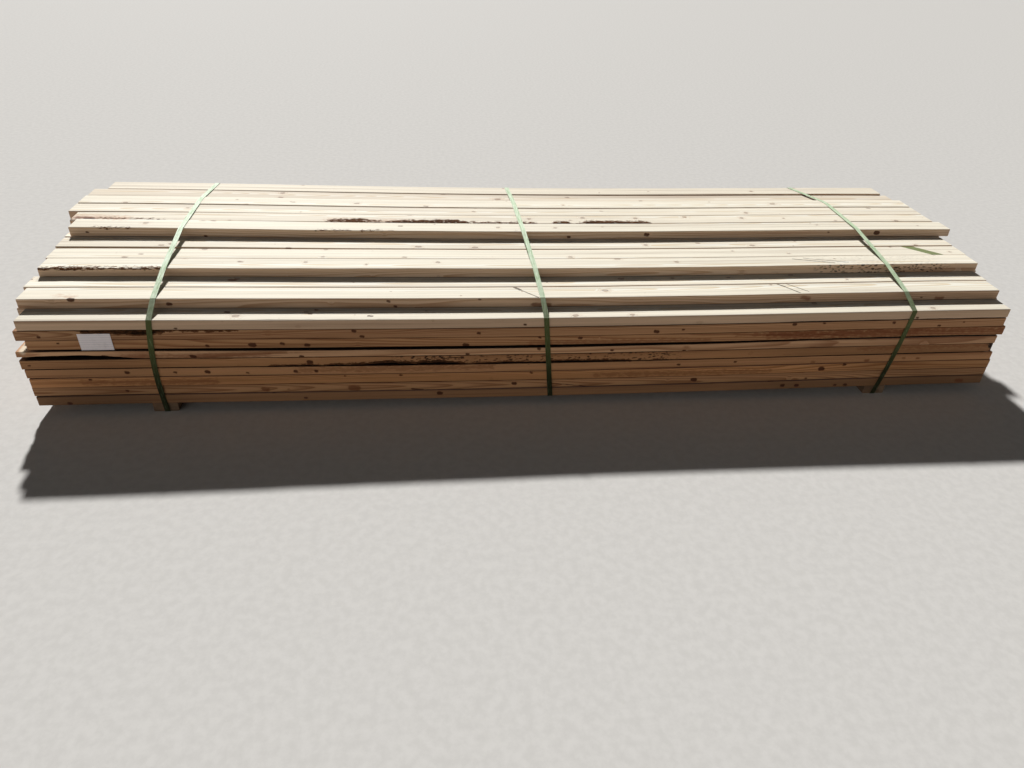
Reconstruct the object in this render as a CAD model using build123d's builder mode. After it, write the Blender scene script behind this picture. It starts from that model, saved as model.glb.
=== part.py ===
from build123d import *
import os
from math import sqrt
from random import Random

os.makedirs("parts", exist_ok=True)

# A strapped bundle of softwood studs, laid flat in courses on two cross bearers.
# X runs along the studs, the stepped front faces -Y, and the floor is Z = 0.
# All sizes are in millimetres.

# One stud: a planed two-by-four, sold as twelve feet long
stud_length = 3658.0
stud_width = 89.0
stud_thickness = 38.0
eased_edge = 3.0

# The stack: full courses, then courses from which studs are gone at the front
studs_across = 12
full_courses = 9
gone_counts = (1, 3, 6)
side_gap = 1.0
course_gap = 0.3

# How far a course, or a course's front stud, lies from its line, towards the back
course_drift = {2: 4.0, 4: 2.0, 5: 1.0, 7: 1.5, 9: 0.5, 12: 4.0}
front_stud_drift = {10: -3.0, 11: -10.0}
# Studs sawn near the bark lack more of their upper front edge, by course and place
wane = {(5, 1): 7.0, (6, 1): 9.0, (11, 4): 5.0, (12, 8): 8.0}

# Cross bearers: the same size of timber, cut to the depth of the stack
bearer_width = 89.0
bearer_thickness = 38.0
# An end stops this far inside the straps, where the strap's bend clears its sawn corner
bearer_setback = 3.0
# How far the middle of a bearer lies in from the nominal end of the studs
bearer_insets = {"left": 424.0, "right": 462.0}

# Plastic strap, drawn tight and welded where its ends overlap
strap_width = 19.0
strap_thickness = 1.0
strap_fit = 0.2
weld_length = 42.0
weld_height = 250.0
# How far the middle of each strap lies along X from its bearer, or from the stack's middle:
# foot and shoulder of the front, edge of the top course, bend on top, top and foot of the back
strap_lines = {
    "left": (4.0, 20.0, 7.0, 3.0, 27.0, 20.0),
    "middle": (22.0, -15.0, -41.0, -47.0, -59.0, -30.0),
    "right": (-3.0, 44.0, 57.0, 71.0, -17.0, -7.0),
}
strap_bend = 870.0

# Paper label on the front, from the foot of this course up over the next
label_width = 107.0
label_height = 64.0
label_thickness = 0.3
label_fit = 0.1
label_inset = 254.0
label_course = 7

# How far the ends that show stand out past the nominal length, left and right,
# by course from the floor and place from the front
end_reach = {
    (1, 1): (5.0, 0.0),
    (2, 1): (10.0, 1.0),
    (3, 1): (6.0, -1.0),
    (4, 1): (11.0, -6.0),
    (5, 1): (16.0, -23.0),
    (6, 1): (17.0, -21.0),
    (7, 1): (-26.0, -3.0),
    (8, 1): (0.0, -18.0),
    (9, 1): (-15.0, -17.0),
    (10, 2): (3.0, -20.0),
    (10, 3): (18.0, -11.0),
    (11, 4): (-4.0, -10.0),
    (11, 5): (4.0, -3.0),
    (11, 6): (6.0, -3.0),
    (12, 7): (-14.0, 38.0),
    (12, 8): (17.0, 8.0),
    (12, 9): (54.0, 8.0),
    (12, 10): (50.0, 3.0),
    (12, 11): (46.0, -16.0),
    (12, 12): (-8.0, -43.0),
}
# The other ends are ragged within this much, the same way every time
end_ragged = 18.0
end_seed = 24

# Derived sizes
courses = full_courses + len(gone_counts)
stud_pitch = stud_width + side_gap
course_pitch = stud_thickness + course_gap
wrap_gap = strap_fit + strap_thickness
bearer_bottom = wrap_gap
stack_bottom = bearer_bottom + bearer_thickness + course_gap
stack_depth = studs_across * stud_pitch - side_gap
back_proud = max(0.0, *course_drift.values())
# The weld lies outside the strap at the back, so the middle of the depth allows for it
front_y = -(stack_depth + back_proud + strap_thickness) / 2
back_y = front_y + stack_depth + back_proud


def reach(course, place):
    """Left and right reach of one stud's ends past the nominal length."""
    if (course, place) in end_reach:
        return end_reach[course, place]
    rough = Random(end_seed + course * studs_across + place)
    return rough.uniform(-end_ragged, end_ragged), rough.uniform(-end_ragged, end_ragged)


def gone(course):
    """Studs missing from the front of a course."""
    return gone_counts[course - full_courses - 1] if course > full_courses else 0


def course_base(course):
    """Height of the underside of a course."""
    return stack_bottom + (course - 1) * course_pitch


def course_top(course):
    """Height of the upper side of a course."""
    return course_base(course) + stud_thickness


def stud_front(course, place):
    """Front face of one stud, from the front of the stack to the back."""
    drift = course_drift.get(course, 0.0)
    if place == gone(course) + 1:
        drift += front_stud_drift.get(course, 0.0)
    return front_y + (place - 1) * stud_pitch + drift


places = [(n, p) for n in range(1, courses + 1) for p in range(gone(n) + 1, studs_across + 1)]
left_most = max(reach(n, p)[0] for n, p in places)
right_most = max(reach(n, p)[1] for n, p in places)
# X = 0 is the middle of the whole reach, so the nominal middle lies a little aside
middle_x = (left_most - right_most) / 2


def bearer_middle(side):
    """Middle of a bearer, along the studs."""
    in_from_middle = stud_length / 2 - bearer_insets[side]
    return middle_x + (in_from_middle if side == "right" else -in_from_middle)


# Courses of studs
course_parts = []
for n in range(1, courses + 1):
    with BuildPart() as course:
        for p in range(gone(n) + 1, studs_across + 1):
            left, right = reach(n, p)
            start_x = middle_x - stud_length / 2 - left
            section_middle = (
                stud_front(n, p) + stud_width / 2,
                course_base(n) + stud_thickness / 2,
            )
            with BuildSketch(Plane.YZ.offset(start_x)) as section:
                with Locations(section_middle):
                    Rectangle(stud_width, stud_thickness)
                chamfer(section.vertices(), eased_edge)
                if (n, p) in wane:
                    side = wane[n, p] * sqrt(2)
                    with Locations((stud_front(n, p), course_top(n))):
                        Rectangle(side, side, rotation=45, mode=Mode.SUBTRACT)
            extrude(amount=stud_length + left + right)
    course.part.label = f"course_{n:02d}"
    course_parts.append(course.part)

# Cross bearers
bearer_parts = []
for side in bearer_insets:
    with BuildPart() as bearer:
        section_middle = (bearer_middle(side), bearer_bottom + bearer_thickness / 2)
        with BuildSketch(Plane.XZ.offset(-(front_y + bearer_setback))) as section:
            with Locations(section_middle):
                Rectangle(bearer_width, bearer_thickness)
            chamfer(section.vertices(), eased_edge)
        extrude(amount=-(back_y - front_y - 2 * bearer_setback))
    bearer.part.label = f"bearer_{side}"
    bearer_parts.append(bearer.part)


def wrap_centres(bottom):
    """Centres of the eased edges that a strap goes round, seen along the studs."""
    front = front_y + eased_edge
    back = back_y - eased_edge
    foot = bottom + eased_edge
    steps = [
        (stud_front(n, gone(n) + 1) + eased_edge, course_top(n) - eased_edge)
        for n in range(full_courses + 1, courses + 1)
    ]
    shoulder = course_top(full_courses) - eased_edge
    return [(front, foot), (front, shoulder), *steps, (back, steps[-1][1]), (back, foot)]


# Straps: a band round the stack, trimmed to the strap's width in each view
strap_parts = []
for name, line in strap_lines.items():
    start_x = middle_x if name == "middle" else bearer_middle(name)
    foot, shoulder, crest, bend, back_top, back_foot = [start_x + x for x in line]
    half = strap_width / 2
    bottom = stack_bottom if name == "middle" else bearer_bottom
    top = course_top(courses)
    split = course_top(full_courses) - eased_edge
    crest_y = stud_front(courses, gone(courses) + 1)
    front_in = front_y + eased_edge
    back_in = back_y - eased_edge

    # Sides of the strap as seen from above, from the front, from the back and from below
    views = [
        (
            Plane.XY.offset(split),
            [(shoulder, front_y - strap_width), (shoulder, front_in), (crest, crest_y),
             (bend, front_y + strap_bend), (back_top, back_in)],
            top + strap_width - split,
        ),
        (
            Plane.XZ.offset(-front_in),
            [(foot, bottom - strap_width), (foot, bottom + eased_edge), (shoulder, split)],
            eased_edge + strap_width,
        ),
        (
            Plane.XZ.offset(-back_in),
            [(back_foot, bottom - strap_width), (back_foot, bottom + eased_edge),
             (back_top, top - eased_edge), (back_top, top + strap_width)],
            -(eased_edge + strap_width),
        ),
        (
            Plane.XY.offset(bottom + eased_edge),
            [(foot, front_in), (back_foot, back_in)],
            -(eased_edge + strap_width),
        ),
    ]
    with BuildPart() as room:
        for plane, middle_line, depth in views:
            near = [(x - half, v) for x, v in middle_line]
            far = [(x + half, v) for x, v in reversed(middle_line)]
            with BuildSketch(plane):
                with BuildLine():
                    Polyline(*near, *far, close=True)
                make_face()
            extrude(amount=depth)

    with BuildPart() as strap:
        with BuildSketch(Plane.YZ.offset(start_x + min(line) - strap_width)):
            with BuildLine():
                Polyline(*wrap_centres(bottom), close=True)
            make_face()
            offset(amount=eased_edge + wrap_gap, kind=Kind.ARC)
            with BuildSketch(mode=Mode.SUBTRACT):
                with BuildLine():
                    Polyline(*wrap_centres(bottom), close=True)
                make_face()
                offset(amount=eased_edge + strap_fit, kind=Kind.ARC)
            with Locations((back_y + wrap_gap + strap_thickness / 2, weld_height)):
                Rectangle(strap_thickness, weld_length)
        extrude(amount=max(line) - min(line) + 2 * strap_width)
        add(room.part, mode=Mode.INTERSECT)
    strap.part.label = f"strap_{name}"
    strap_parts.append(strap.part)

# Label
label_x = middle_x - stud_length / 2 + label_inset
with BuildPart() as label:
    with BuildSketch(Plane.XZ.offset(-(front_y - label_fit))):
        with Locations((label_x, course_base(label_course) + label_height / 2)):
            Rectangle(label_width, label_height)
    extrude(amount=label_thickness)
label.part.label = "label"

for piece in [*course_parts, *bearer_parts, *strap_parts, label.part]:
    export_step(piece, f"parts/{piece.label}.step")
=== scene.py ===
"""Dressed scene of a strapped bundle of pine studs.

Everything is in metres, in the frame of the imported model: X runs along the studs, the stepped
front faces -Y, and the floor is Z = 0.
"""

import logging
import math
import random
from dataclasses import dataclass, field
from enum import Enum
from functools import cached_property
from typing import Optional, Union

import bmesh
import bpy
from mathutils import Matrix, Vector, noise


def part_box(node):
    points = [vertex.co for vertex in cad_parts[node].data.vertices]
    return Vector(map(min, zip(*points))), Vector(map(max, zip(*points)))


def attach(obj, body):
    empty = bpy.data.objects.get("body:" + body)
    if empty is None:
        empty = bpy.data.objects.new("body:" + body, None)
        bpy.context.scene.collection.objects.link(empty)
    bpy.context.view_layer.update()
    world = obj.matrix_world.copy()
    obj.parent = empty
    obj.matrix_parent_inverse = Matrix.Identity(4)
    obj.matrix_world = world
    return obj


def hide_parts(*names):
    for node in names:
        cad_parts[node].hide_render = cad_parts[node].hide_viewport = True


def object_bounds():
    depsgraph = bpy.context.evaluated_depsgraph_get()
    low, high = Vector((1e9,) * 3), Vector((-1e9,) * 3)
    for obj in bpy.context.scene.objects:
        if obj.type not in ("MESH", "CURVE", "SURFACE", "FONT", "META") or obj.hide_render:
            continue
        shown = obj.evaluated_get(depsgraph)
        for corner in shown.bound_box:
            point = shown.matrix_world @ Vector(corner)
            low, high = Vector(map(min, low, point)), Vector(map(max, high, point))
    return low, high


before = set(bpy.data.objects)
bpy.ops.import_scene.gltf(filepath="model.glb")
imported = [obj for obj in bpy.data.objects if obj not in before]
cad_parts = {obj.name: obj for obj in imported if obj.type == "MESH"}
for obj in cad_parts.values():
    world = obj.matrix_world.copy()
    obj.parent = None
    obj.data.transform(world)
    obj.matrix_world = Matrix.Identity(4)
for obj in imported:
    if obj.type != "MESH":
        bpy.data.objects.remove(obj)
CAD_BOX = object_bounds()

LOG = logging.getLogger("bundle")
MM = 0.001

# The stack's courses, counted from the floor, and its studs, counted from the front
COURSES = range(1, 13)
FULL_COURSES = 9
STUDS_ACROSS = 12
STUD_WIDTH = 89 * MM
STUD_PITCH = 90 * MM
EASED_EDGE = 3 * MM

Number3 = tuple[float, float, float]
Colour = tuple[float, float, float, float]
LAYERS = ("heart", "grain", "tone", "marks")


def smooth_step(low: float, high: float, value: float) -> float:
    """Smooth climb from 0 at low to 1 at high.

    Args:
        low: Where the climb starts.
        high: Where the climb ends.
        value: The number to place on the climb.

    Returns:
        A number from 0 to 1.
    """
    share = min(1.0, max(0.0, (value - low) / (high - low)))
    return share * share * (3.0 - 2.0 * share)


def between(low: float, high: float, share: float) -> float:
    """Number at a share of the way from low to high."""
    return low + (high - low) * share


def along_steps(values: tuple[float, ...], share: float) -> float:
    """Number at a share of the way along evenly spaced values.

    Args:
        values: The values, two or more.
        share: How far along them, from 0 to 1.

    Returns:
        The number between the two nearest values.
    """
    step = min(1.0, max(0.0, share)) * (len(values) - 1)
    index = min(int(step), len(values) - 2)
    return between(values[index], values[index + 1], step - index)


def wander(*place: float) -> float:
    """Smooth noise at a place, from about -1 to 1."""
    return noise.noise(Vector(place))


def colour(red: int, green: int, blue: int) -> Colour:
    """Colour for a shader from the red, green and blue seen on a screen.

    Args:
        red: Red, 0 to 255.
        green: Green, 0 to 255.
        blue: Blue, 0 to 255.

    Returns:
        Linear red, green and blue, and an alpha of 1.
    """
    seen = [part / 255.0 for part in (red, green, blue)]
    linear = [part / 12.92 if part < 0.0404 else ((part + 0.055) / 1.055) ** 2.4 for part in seen]
    return (linear[0], linear[1], linear[2], 1.0)


def room_of(node: str) -> tuple[Vector, Vector]:
    """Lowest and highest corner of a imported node."""
    low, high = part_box(node)
    return Vector(low), Vector(high)


def course_node(number: int) -> str:
    """Name of a course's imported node."""
    return f"course_{number:02d}"


# The shared shape of the stack

@dataclass(frozen=True)
class Settling:
    """How the stack has sagged between and beside its two bearers.

    The middle has come down most, and the ends have kept their height.
    """

    middle_x: float = 8 * MM
    reach: float = 1829 * MM
    sag_low: float = 11.0 * MM
    sag_gain: float = 2.6 * MM
    stack_foot: float = 39.5 * MM
    stack_height: float = 460 * MM

    def drop(self, x: float, z: float) -> float:
        """How far a point has come down.

        Args:
            x: Place along the studs.
            z: Height before the stack settled.

        Returns:
            The drop, which fades to nothing at the floor.
        """
        share = min(1.0, abs(x - self.middle_x) / self.reach)
        full = self.sag_low + self.sag_gain * (z - self.stack_foot) / self.stack_height
        return full * (1.0 - share * share) ** 2 * min(1.0, z / self.stack_foot)

    def apply(self, mesh: bmesh.types.BMesh) -> None:
        """Lower every corner of a mesh by its own drop."""
        for corner in mesh.verts:
            corner.co.z -= self.drop(corner.co.x, corner.co.z)


SETTLING = Settling()


class Detail(Enum):
    """How finely a stud is cut along its length."""

    HIDDEN = 8
    PLAIN = 44
    FINE = 131


class Corner(Enum):
    """A long corner of a stud: which side in depth, and which in height."""

    UPPER_FRONT = (0, 1)
    LOWER_FRONT = (0, 0)
    UPPER_BACK = (1, 1)


@dataclass(frozen=True)
class Wane:
    """A stretch where a stud was sawn near the bark and lacks its corner."""

    corner: Corner
    start: float
    end: float
    depth: float
    bark: float = 0.0
    fade: float = 120 * MM
    ragged: float = 0.35
    breadth: float = 1.0

    def strength(self, x: float, seed: float) -> float:
        """Share of the full depth at one place.

        Args:
            x: Place along the stud.
            seed: Number that tells one stud's raggedness from another's.

        Returns:
            0 outside the stretch and about 1 in its middle.
        """
        rise = smooth_step(self.start - self.fade, self.start + self.fade, x)
        fall = 1.0 - smooth_step(self.end - self.fade, self.end + self.fade, x)
        bites = wander(x * 9.0, seed, 0.0) + 0.6 * wander(x * 31.0, seed, 4.0)
        return max(0.0, rise * fall * (1.0 + self.ragged * bites))


@dataclass(frozen=True)
class Tone:
    """Colour of one stud: lightness, warmth, how much paler its upper side is painted for sun bleaching and
    sunlight, and dirt that on the bearers also stands for painted shade.
    """

    light: float = 1.0
    warm: float = 0.3
    bleach_and_sunlight: float = 0.8
    grime_and_shade: float = 0.0


@dataclass
class Stud:
    """One sawn stud with eased long edges, ragged where it was cut near the bark."""

    low: Vector
    high: Vector
    seed: int
    detail: Detail = Detail.HIDDEN
    tone: Tone = field(default_factory=Tone)
    wanes: tuple[Wane, ...] = ()
    sunk: tuple[float, ...] = (0.0, 0.0)
    mould: Optional[tuple[float, float]] = None
    mould_fade: float = 60 * MM
    along: int = 0
    eased: float = EASED_EDGE
    out_of_square: float = 1.4 * MM

    def block(self) -> bmesh.types.BMesh:
        """Plain stud: a block with eased long edges, cut along its length.

        Returns:
            A new mesh with its long axis along X or Y.
        """
        mesh = bmesh.new()
        corners = bmesh.ops.create_cube(mesh, size=1.0)["verts"]
        bmesh.ops.scale(mesh, vec=self.high - self.low, verts=corners)
        bmesh.ops.translate(mesh, vec=(self.low + self.high) / 2, verts=corners)
        bmesh.ops.bevel(
            mesh, geom=self.long_edges(mesh), offset=self.eased, offset_type="OFFSET", affect="EDGES",
            segments=1 if self.detail is Detail.HIDDEN else 2, profile=0.5, material=-1,
            clamp_overlap=True,
        )
        bmesh.ops.subdivide_edges(mesh, edges=self.long_edges(mesh), cuts=self.detail.value)
        return mesh

    def long_edges(self, mesh: bmesh.types.BMesh) -> list[bmesh.types.BMEdge]:
        """Edges that run the whole length of the stud."""
        half = (self.high[self.along] - self.low[self.along]) / 2
        return [
            edge for edge in mesh.edges
            if abs(edge.verts[0].co[self.along] - edge.verts[1].co[self.along]) > half
        ]

    def corner_depth(self, corner: Corner, x: float) -> Number3:
        """Size of one long corner's missing wood.

        Args:
            corner: Which long corner.
            x: Place along the stud.

        Returns:
            The corner's height and breadth, at least the eased edge, and how much bark shows.
        """
        side, level = corner.value
        depth = self.eased * (1.0 + 0.3 * wander(x * 5.0, self.seed * 3.7, 9.0 * side + 5.0 * level))
        breadth = depth
        bark = 0.0
        for wane in self.wanes:
            if wane.corner is corner:
                strength = wane.strength(x, self.seed * 1.3)
                depth = max(depth, wane.depth * strength)
                breadth = max(breadth, wane.depth * wane.breadth * strength)
                bark = max(bark, wane.bark * min(1.0, strength * 2.5))
        return depth, breadth, bark

    def wear(self, mesh: bmesh.types.BMesh) -> dict[int, float]:
        """Ease, wane and sink the stud's corners, and cut its ends out of square.

        Args:
            mesh: The stud's mesh, changed in place.

        Returns:
            How much bark each corner of the mesh shows, by its index.
        """
        rough = random.Random(self.seed)
        skew = [rough.uniform(0.0, self.out_of_square) for _ in range(4)]
        bark: dict[int, float] = {}
        size = self.high - self.low
        mesh.verts.index_update()
        for point in mesh.verts:
            across = (point.co.y - self.low.y) / size.y
            upward = (point.co.z - self.low.z) / size.z
            for corner in Corner:
                side, level = corner.value
                from_side = abs(point.co.y - (self.high.y if side else self.low.y))
                from_level = abs(point.co.z - (self.high.z if level else self.low.z))
                if max(from_side, from_level) > self.eased * 1.01 or self.detail is Detail.HIDDEN:
                    continue
                depth, breadth, shown = self.corner_depth(corner, point.co.x)
                point.co.y += (breadth / self.eased - 1.0) * from_side * (-1.0 if side else 1.0)
                point.co.z += (depth / self.eased - 1.0) * from_level * (-1.0 if level else 1.0)
                bark[point.index] = shown
                break
            if upward > 0.5:
                share = (point.co.x - self.low.x) / size.x
                point.co.z -= along_steps(self.sunk, share) * (upward - 0.5) * 2.0
            if abs(point.co.x - self.low.x) < 0.01 * MM:
                point.co.x += skew[0] * across + skew[1] * upward
            elif abs(point.co.x - self.high.x) < 0.01 * MM:
                point.co.x -= skew[2] * across + skew[3] * upward
        return bark

    def heart(self) -> tuple[Number3, Number3]:
        """Where the middle of the tree lay, seen from this stud.

        Returns:
            The pith's two cross coordinates and the stud's own number, and then the pith's two
            slopes and the width of a growth ring.
        """
        rough = random.Random(self.seed * 7 + 5)
        turn = rough.uniform(0.0, 2.0 * math.pi)
        away = rough.uniform(12 * MM, 95 * MM)
        centre = (self.low + self.high) / 2
        place = (
            centre[0 if self.along else 1] + away * math.cos(turn),
            centre.z + away * math.sin(turn),
            rough.uniform(0.0, 40.0),
        )
        lean = (rough.uniform(-0.012, 0.012), rough.uniform(-0.009, 0.009), rough.uniform(2.3, 4.4) * MM)
        return place, lean

    def mouldy(self, x: float) -> float:
        """How mouldy the stud is at a place along it, from 0 to 1."""
        if self.mould is None:
            return 0.0
        start, end = self.mould
        rise = smooth_step(start - self.mould_fade, start + self.mould_fade, x)
        return rise * (1.0 - smooth_step(end - self.mould_fade, end + self.mould_fade, x))

    def shape(self) -> bmesh.types.BMesh:
        """Finished stud with the values that its finish reads.

        Returns:
            A new mesh, settled into the stack.
        """
        mesh = self.block()
        bark = self.wear(mesh) if self.along == 0 else {}
        heart, grain, tone, marks = [mesh.verts.layers.float_vector.new(name) for name in LAYERS]
        place, lean = self.heart()
        mesh.verts.index_update()
        for point in mesh.verts:
            point[heart] = place
            point[grain] = lean
            point[tone] = (self.tone.light, self.tone.warm, self.tone.bleach_and_sunlight)
            point[marks] = (bark.get(point.index, 0.0), self.mouldy(point.co.x), self.tone.grime_and_shade)
        SETTLING.apply(mesh)
        return mesh


def stand(name: str, data: bpy.types.ID) -> bpy.types.Object:
    """Put a mesh, lamp or camera in the scene.

    Args:
        name: Name of the object.
        data: What it shows.

    Returns:
        The new object, at the origin.
    """
    placed = bpy.data.objects.new(name, data)
    bpy.context.scene.collection.objects.link(placed)
    return placed


def place_mesh(name: str, mesh: bmesh.types.BMesh, material: bpy.types.Material) -> bpy.types.Object:
    """Put a mesh in the scene.

    Args:
        name: Name of the object.
        mesh: Its mesh, which is freed.
        material: Its finish.

    Returns:
        The new object.
    """
    data = bpy.data.meshes.new(name)
    mesh.to_mesh(data)
    mesh.free()
    data.materials.append(material)
    return stand(name, data)


def finish_piece(
    name: str, mesh: bmesh.types.BMesh, material: bpy.types.Material, node: str
) -> None:
    """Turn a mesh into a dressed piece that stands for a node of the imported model.

    Args:
        name: Name of the piece.
        mesh: Its mesh, which is freed.
        material: Its finish.
        node: The node that it replaces.
    """
    piece = place_mesh(name, mesh, material)
    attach(piece, "root")
    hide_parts(node)
    LOG.info("%s: %d faces", name, len(piece.data.polygons))


# Node sheets for the finishes

class Signal:
    """What a shader node puts out, with the sums that can be done on it."""

    def __init__(self, sheet: "Sheet", socket: bpy.types.NodeSocket) -> None:
        """Keep the socket and the sheet that it lies on."""
        self.sheet = sheet
        self.socket = socket

    def __add__(self, other: "Feed") -> "Signal":
        """Sum of two numbers."""
        return self.sheet.math("ADD", self, other)

    def __sub__(self, other: "Feed") -> "Signal":
        """This number less another."""
        return self.sheet.math("SUBTRACT", self, other)

    def __rsub__(self, other: "Feed") -> "Signal":
        """Another number less this one."""
        return self.sheet.math("SUBTRACT", other, self)

    def __mul__(self, other: "Feed") -> "Signal":
        """Product of two numbers."""
        return self.sheet.math("MULTIPLY", self, other)

    def __truediv__(self, other: "Feed") -> "Signal":
        """This number divided by another."""
        return self.sheet.math("DIVIDE", self, other)

    def __abs__(self) -> "Signal":
        """Size of this number without its sign."""
        return self.sheet.math("ABSOLUTE", self)

    def climb(self, low: "Feed", high: "Feed", start: float = 0.0, end: float = 1.0) -> "Signal":
        """Smooth climb from start to end as this number goes from low to high.

        Args:
            low: Where the climb starts.
            high: Where the climb ends, which may lie below low.
            start: What it starts at.
            end: What it ends at.

        Returns:
            The number between start and end.
        """
        feeds = {"Value": self, "From Min": low, "From Max": high, "To Min": start, "To Max": end}
        node = self.sheet.add("ShaderNodeMapRange", feeds, interpolation_type="SMOOTHSTEP")
        return self.sheet.out(node, "Result")

    def parts(self) -> tuple["Signal", "Signal", "Signal"]:
        """The three numbers of a vector."""
        node = self.sheet.add("ShaderNodeSeparateXYZ", {0: self})
        return tuple(Signal(self.sheet, socket) for socket in node.outputs)

    def scaled(self, by: Number3, shift: "Feed" = (0.0, 0.0, 0.0)) -> "Signal":
        """This vector stretched along each axis and shifted."""
        return self.sheet.vector("ADD", self.sheet.vector("MULTIPLY", self, by), shift)


Feed = Union[Signal, bpy.types.NodeSocket, float, tuple, Vector]


class Sheet:
    """A tree of shader nodes that is filled one node at a time."""

    def __init__(self, tree: bpy.types.NodeTree) -> None:
        """Keep the tree that the nodes go to."""
        self.tree = tree

    def add(self, kind: str, feeds: Optional[dict] = None, **settings: object) -> bpy.types.Node:
        """Add one node.

        Args:
            kind: Blender's name of the node's type.
            feeds: Value or signal for each of the inputs, by name or number.
            settings: The node's own settings.

        Returns:
            The new node.
        """
        node = self.tree.nodes.new(kind)
        for key, value in settings.items():
            setattr(node, key, value)
        for key, value in (feeds or {}).items():
            self.feed(node.inputs[key], value)
        return node

    def feed(self, socket: bpy.types.NodeSocket, value: Feed) -> None:
        """Set a socket's value, or link another node's output to it.

        Args:
            socket: The input to feed.
            value: The value, signal or output that it gets.
        """
        if isinstance(value, Signal):
            value = value.socket
        if isinstance(value, bpy.types.NodeSocket):
            self.tree.links.new(value, socket)
        else:
            socket.default_value = value

    def out(self, node: bpy.types.Node, name: Union[str, int] = 0) -> Signal:
        """One output of a node, by name or number."""
        return Signal(self, node.outputs[name])

    def outputs(self, node: bpy.types.Node) -> dict[str, Signal]:
        """All outputs of a node by name."""
        return {socket.name: Signal(self, socket) for socket in node.outputs}

    def math(self, operation: str, first: Feed, second: Feed = 0.0) -> Signal:
        """Result of one sum on numbers."""
        return self.out(self.add("ShaderNodeMath", {0: first, 1: second}, operation=operation))

    def vector(self, operation: str, first: Feed, second: Feed = (0.0, 0.0, 0.0)) -> Signal:
        """Result of one sum on vectors."""
        node = self.add("ShaderNodeVectorMath", {0: first, 1: second}, operation=operation)
        return self.out(node, "Value" if operation in ("LENGTH", "DOT_PRODUCT") else "Vector")

    def joined(self, x: Feed, y: Feed, z: Feed) -> Signal:
        """A vector of three numbers."""
        return self.out(self.add("ShaderNodeCombineXYZ", {0: x, 1: y, 2: z}))

    def blend(self, share: Feed, first: Feed, second: Feed, kind: str = "MIX") -> Signal:
        """Two colours mixed by a share."""
        node = self.add("ShaderNodeMix", data_type="RGBA", blend_type=kind)
        for key, value in (("Factor", share), (6, first), (7, second)):
            self.feed(node.inputs[key], value)
        return self.out(node, 2)

    def cloud(
        self, place: Feed, scale: float = 1.0, detail: float = 2.0, rough: float = 0.5,
        output: Union[str, int] = 0,
    ) -> Signal:
        """A noise texture.

        Args:
            place: Where it is read.
            scale: How fine it is.
            detail: How many finer layers it has.
            rough: How strong those layers are.
            output: Which output is taken.

        Returns:
            The noise as a number, or as a colour where that output is named.
        """
        feeds = {"Vector": place, "Scale": scale, "Detail": detail, "Roughness": rough}
        return self.out(self.add("ShaderNodeTexNoise", feeds), output)

    def attribute(self, name: str) -> Signal:
        """A value that the mesh carries."""
        return self.out(self.add("ShaderNodeAttribute", attribute_name=name), "Vector")

    def place(self) -> Signal:
        """Object coordinates."""
        return self.out(self.add("ShaderNodeTexCoord"), "Object")

    def facing(self) -> tuple[Signal, Signal, Signal]:
        """The three numbers of the surface's direction."""
        return self.out(self.add("ShaderNodeNewGeometry"), "Normal").parts()

    def bump(self, height: Feed, strength: float, distance: float) -> Signal:
        """Direction of a surface that is roughened by a height."""
        feeds = {"Height": height, "Strength": strength, "Distance": distance}
        return self.out(self.add("ShaderNodeBump", feeds))

    def surface(self, feeds: dict) -> None:
        """Shade the material with a principled surface."""
        shader = self.add("ShaderNodeBsdfPrincipled", feeds)
        self.add("ShaderNodeOutputMaterial", {"Surface": shader.outputs[0]})


def blank_material(name: str) -> tuple[bpy.types.Material, Sheet]:
    """New material and the empty sheet of its nodes."""
    material = bpy.data.materials.new(name)
    material.use_nodes = True
    material.node_tree.nodes.clear()
    return material, Sheet(material.node_tree)


@dataclass
class SharedEffect:
    """A shader node group with named inputs and outputs, built once."""

    name: str
    inputs: dict[str, str]
    outputs: tuple[str, ...]

    def start(self) -> tuple[Sheet, dict[str, Signal], bpy.types.Node]:
        """New group with its sockets.

        Returns:
            The sheet to fill, the group's inputs and the node of its outputs.
        """
        tree = bpy.data.node_groups.new(self.name, "ShaderNodeTree")
        for name, kind in self.inputs.items():
            tree.interface.new_socket(name=name, in_out="INPUT", socket_type=f"NodeSocket{kind}")
        for name in self.outputs:
            tree.interface.new_socket(name=name, in_out="OUTPUT", socket_type="NodeSocketFloat")
        sheet = Sheet(tree)
        return sheet, sheet.outputs(sheet.add("NodeGroupInput")), sheet.add("NodeGroupOutput")

    def place(self, sheet: Sheet, feeds: dict) -> dict[str, Signal]:
        """Put the group in a material.

        Args:
            sheet: The material's sheet.
            feeds: Value or signal for each of the group's inputs.

        Returns:
            The group's outputs by name.
        """
        node = sheet.add("ShaderNodeGroup", feeds, node_tree=bpy.data.node_groups[self.name])
        return sheet.outputs(node)


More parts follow.
